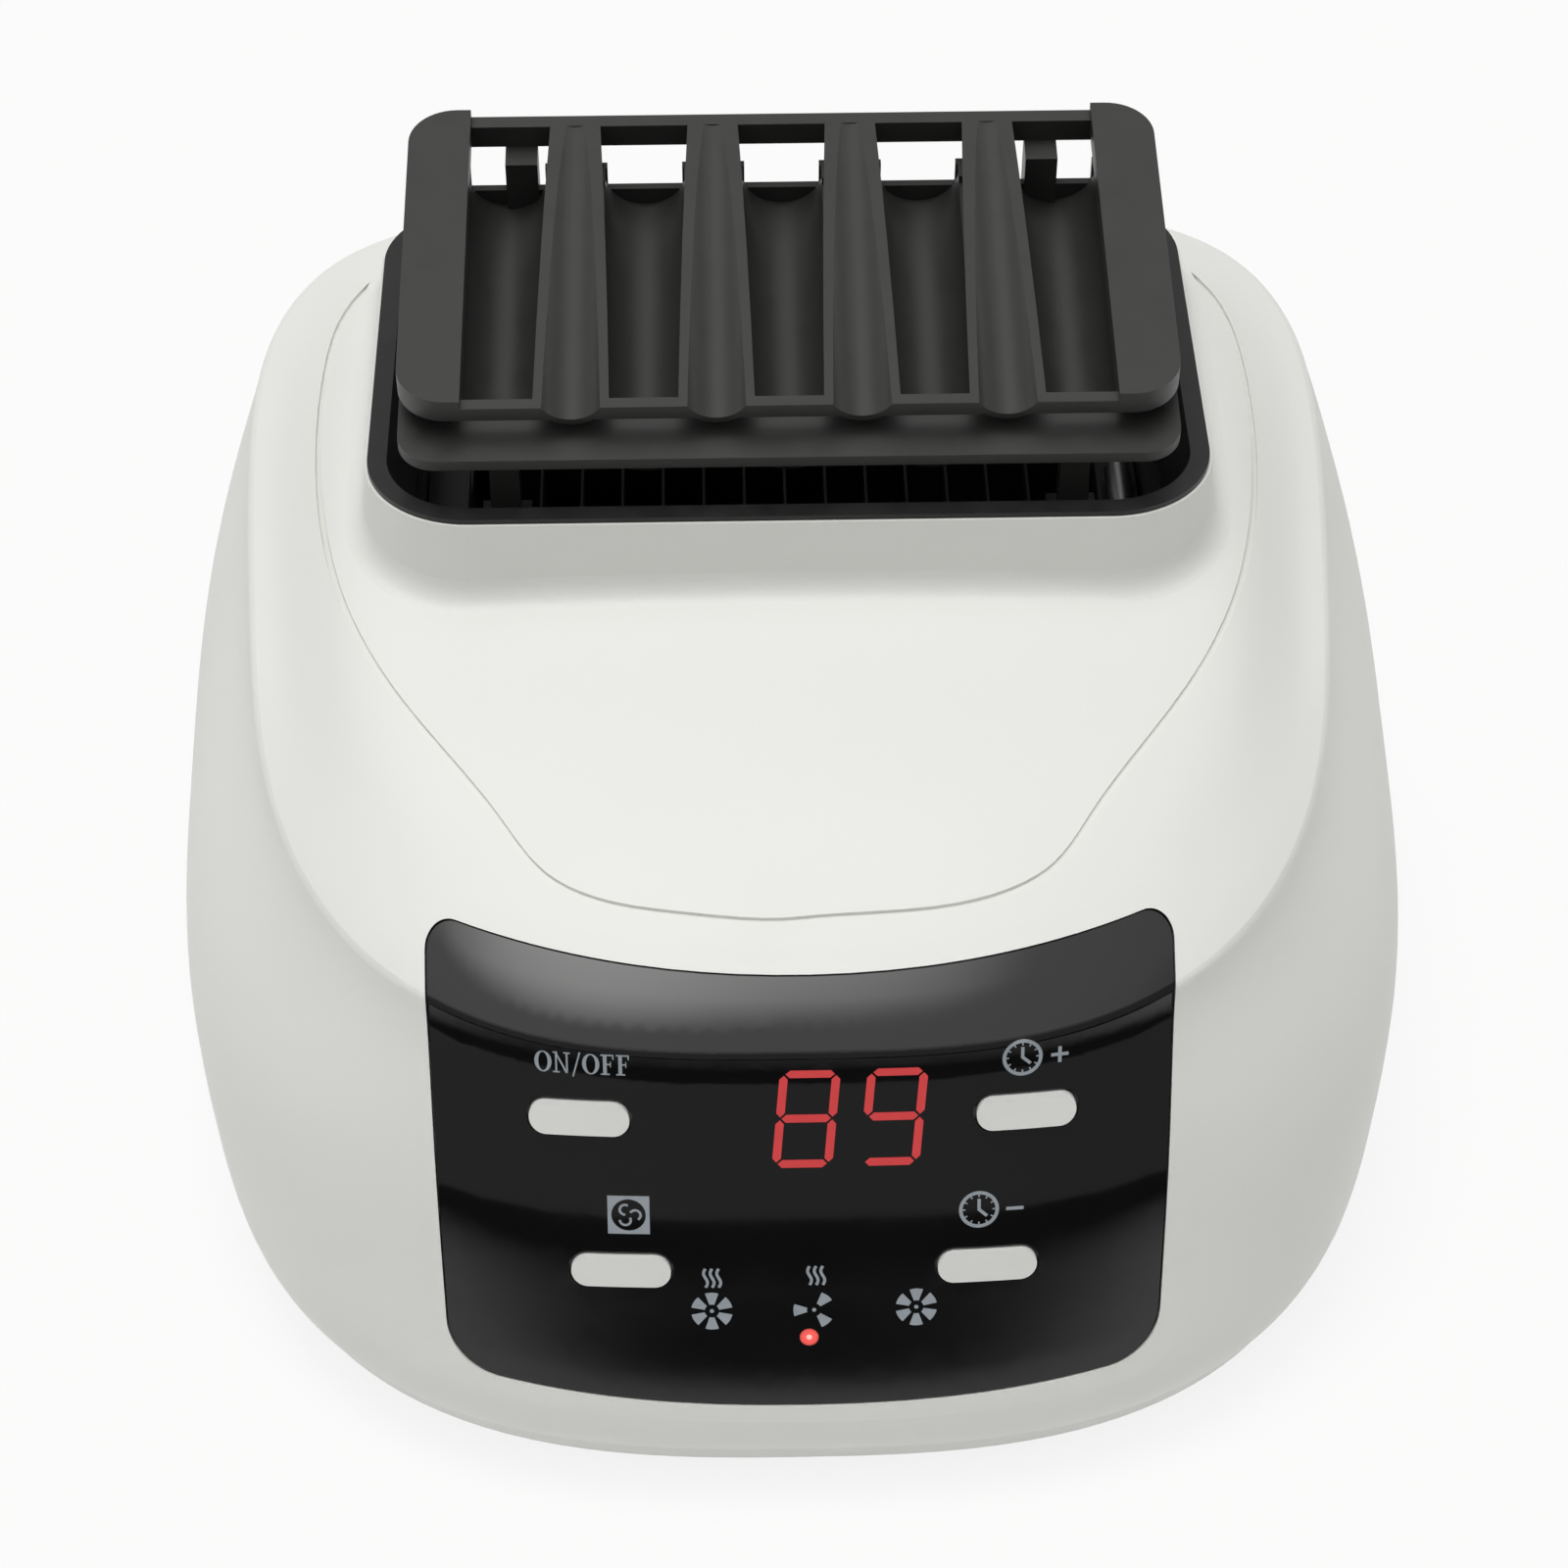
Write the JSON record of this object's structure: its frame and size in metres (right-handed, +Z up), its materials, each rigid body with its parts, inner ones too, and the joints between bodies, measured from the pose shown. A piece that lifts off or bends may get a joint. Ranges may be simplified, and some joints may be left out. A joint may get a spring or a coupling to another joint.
{
  "type": "portable warm-air dryer unit",
  "caption": "Portable warm-air dryer base: white dome housing, slanted black control panel with push buttons and timer, louvred drip-proof air-outlet hood on top.",
  "frame": {"origin": "middle of the footprint on the ground, under the feet", "axes": "+X to the viewer's right when facing the control panel, -Y out of the front, +Z up"},
  "size_m": [0.1806, 0.1801, 0.1272],
  "materials": {
    "white_shell": "satin white moulded housing",
    "white_base": "satin white moulded base",
    "foot_rubber": "soft dark rubber",
    "screw_steel": "plain steel",
    "gloss_black": "gloss black panel",
    "button_white": "white moulded button",
    "switch_black": "matt black moulding",
    "board_green": "green circuit board",
    "display_black": "matt black display case",
    "digit_red": "lit red digit bars",
    "lamp_red": "red lamp lens",
    "filter_grey": "grey woven screen",
    "inner_black": "matt black moulding",
    "bearing_brass": "plain brass",
    "motor_steel": "laminated steel and copper windings",
    "duct_cream": "heat-proof cream moulding",
    "heater_plastic": "heat-proof dark moulding",
    "heater_aluminium": "plain aluminium",
    "relay_blue": "blue moulded case",
    "terminal_green": "green moulded block",
    "hood_black": "satin black moulding",
    "hood_charcoal": "satin charcoal moulding"
  },
  "bodies": {
    "body": {"upper_housing": "white_shell", "base_cover": "white_base", "rubber_feet": "foot_rubber", "housing_screws": "screw_steel", "control_panel": "gloss_black", "tact_switches": "switch_black", "control_board": "board_green", "board_screws": "screw_steel", "digit_display": "display_black", "digit_segments": "digit_red", "indicator_lamps": "lamp_red", "buzzer": "switch_black", "filter_screen": "filter_grey", "filter_frame": "inner_black", "fan_frame": "inner_black", "fan_bearing": "bearing_brass", "fan_motor": "motor_steel", "fan_screws": "screw_steel", "air_duct": "duct_cream", "heater_end_bars": "heater_plastic", "heating_elements": "heater_aluminium", "heater_fins": "heater_aluminium", "thermal_cutout": "heater_plastic", "thermal_fuse": "screw_steel", "power_board": "board_green", "power_board_screws": "screw_steel", "transformer": "relay_blue", "relay": "relay_blue", "capacitors": "switch_black", "terminal_block": "terminal_green", "mains_inlet": "inner_black", "inlet_pins": "bearing_brass", "outlet_bezel": "hood_black", "hood_screws": "screw_steel", "hood_cover": "hood_charcoal", "cover_screws": "screw_steel", "hood_tray": "hood_charcoal"},
    "power_key": {"power_button": "button_white", "power_plunger": "switch_black"},
    "time_up_key": {"time_up_button": "button_white", "time_up_plunger": "switch_black"},
    "mode_key": {"mode_button": "button_white", "mode_plunger": "switch_black"},
    "time_down_key": {"time_down_button": "button_white", "time_down_plunger": "switch_black"},
    "fan_rotor": {"fan_impeller": "inner_black", "fan_shaft": "screw_steel"}
  },
  "joints": [
    {"name": "power_press", "type": "slide", "parent": "body", "child": "power_key", "axis": [0, 0.9397, -0.342], "range_m": [0, 0.0008], "stiffness_N_per_m": 900},
    {"name": "time_up_press", "type": "slide", "parent": "body", "child": "time_up_key", "axis": [0, 0.9397, -0.342], "range_m": [0, 0.0008], "stiffness_N_per_m": 900},
    {"name": "mode_press", "type": "slide", "parent": "body", "child": "mode_key", "axis": [0, 0.9397, -0.342], "range_m": [0, 0.0008], "stiffness_N_per_m": 900},
    {"name": "time_down_press", "type": "slide", "parent": "body", "child": "time_down_key", "axis": [0, 0.9397, -0.342], "range_m": [0, 0.0008], "stiffness_N_per_m": 900},
    {"name": "fan_spin", "type": "hinge", "parent": "body", "child": "fan_rotor", "pos_m": [0, 0.03, 0.027], "axis": [0, 0, 1], "continuous": true}
  ]
}
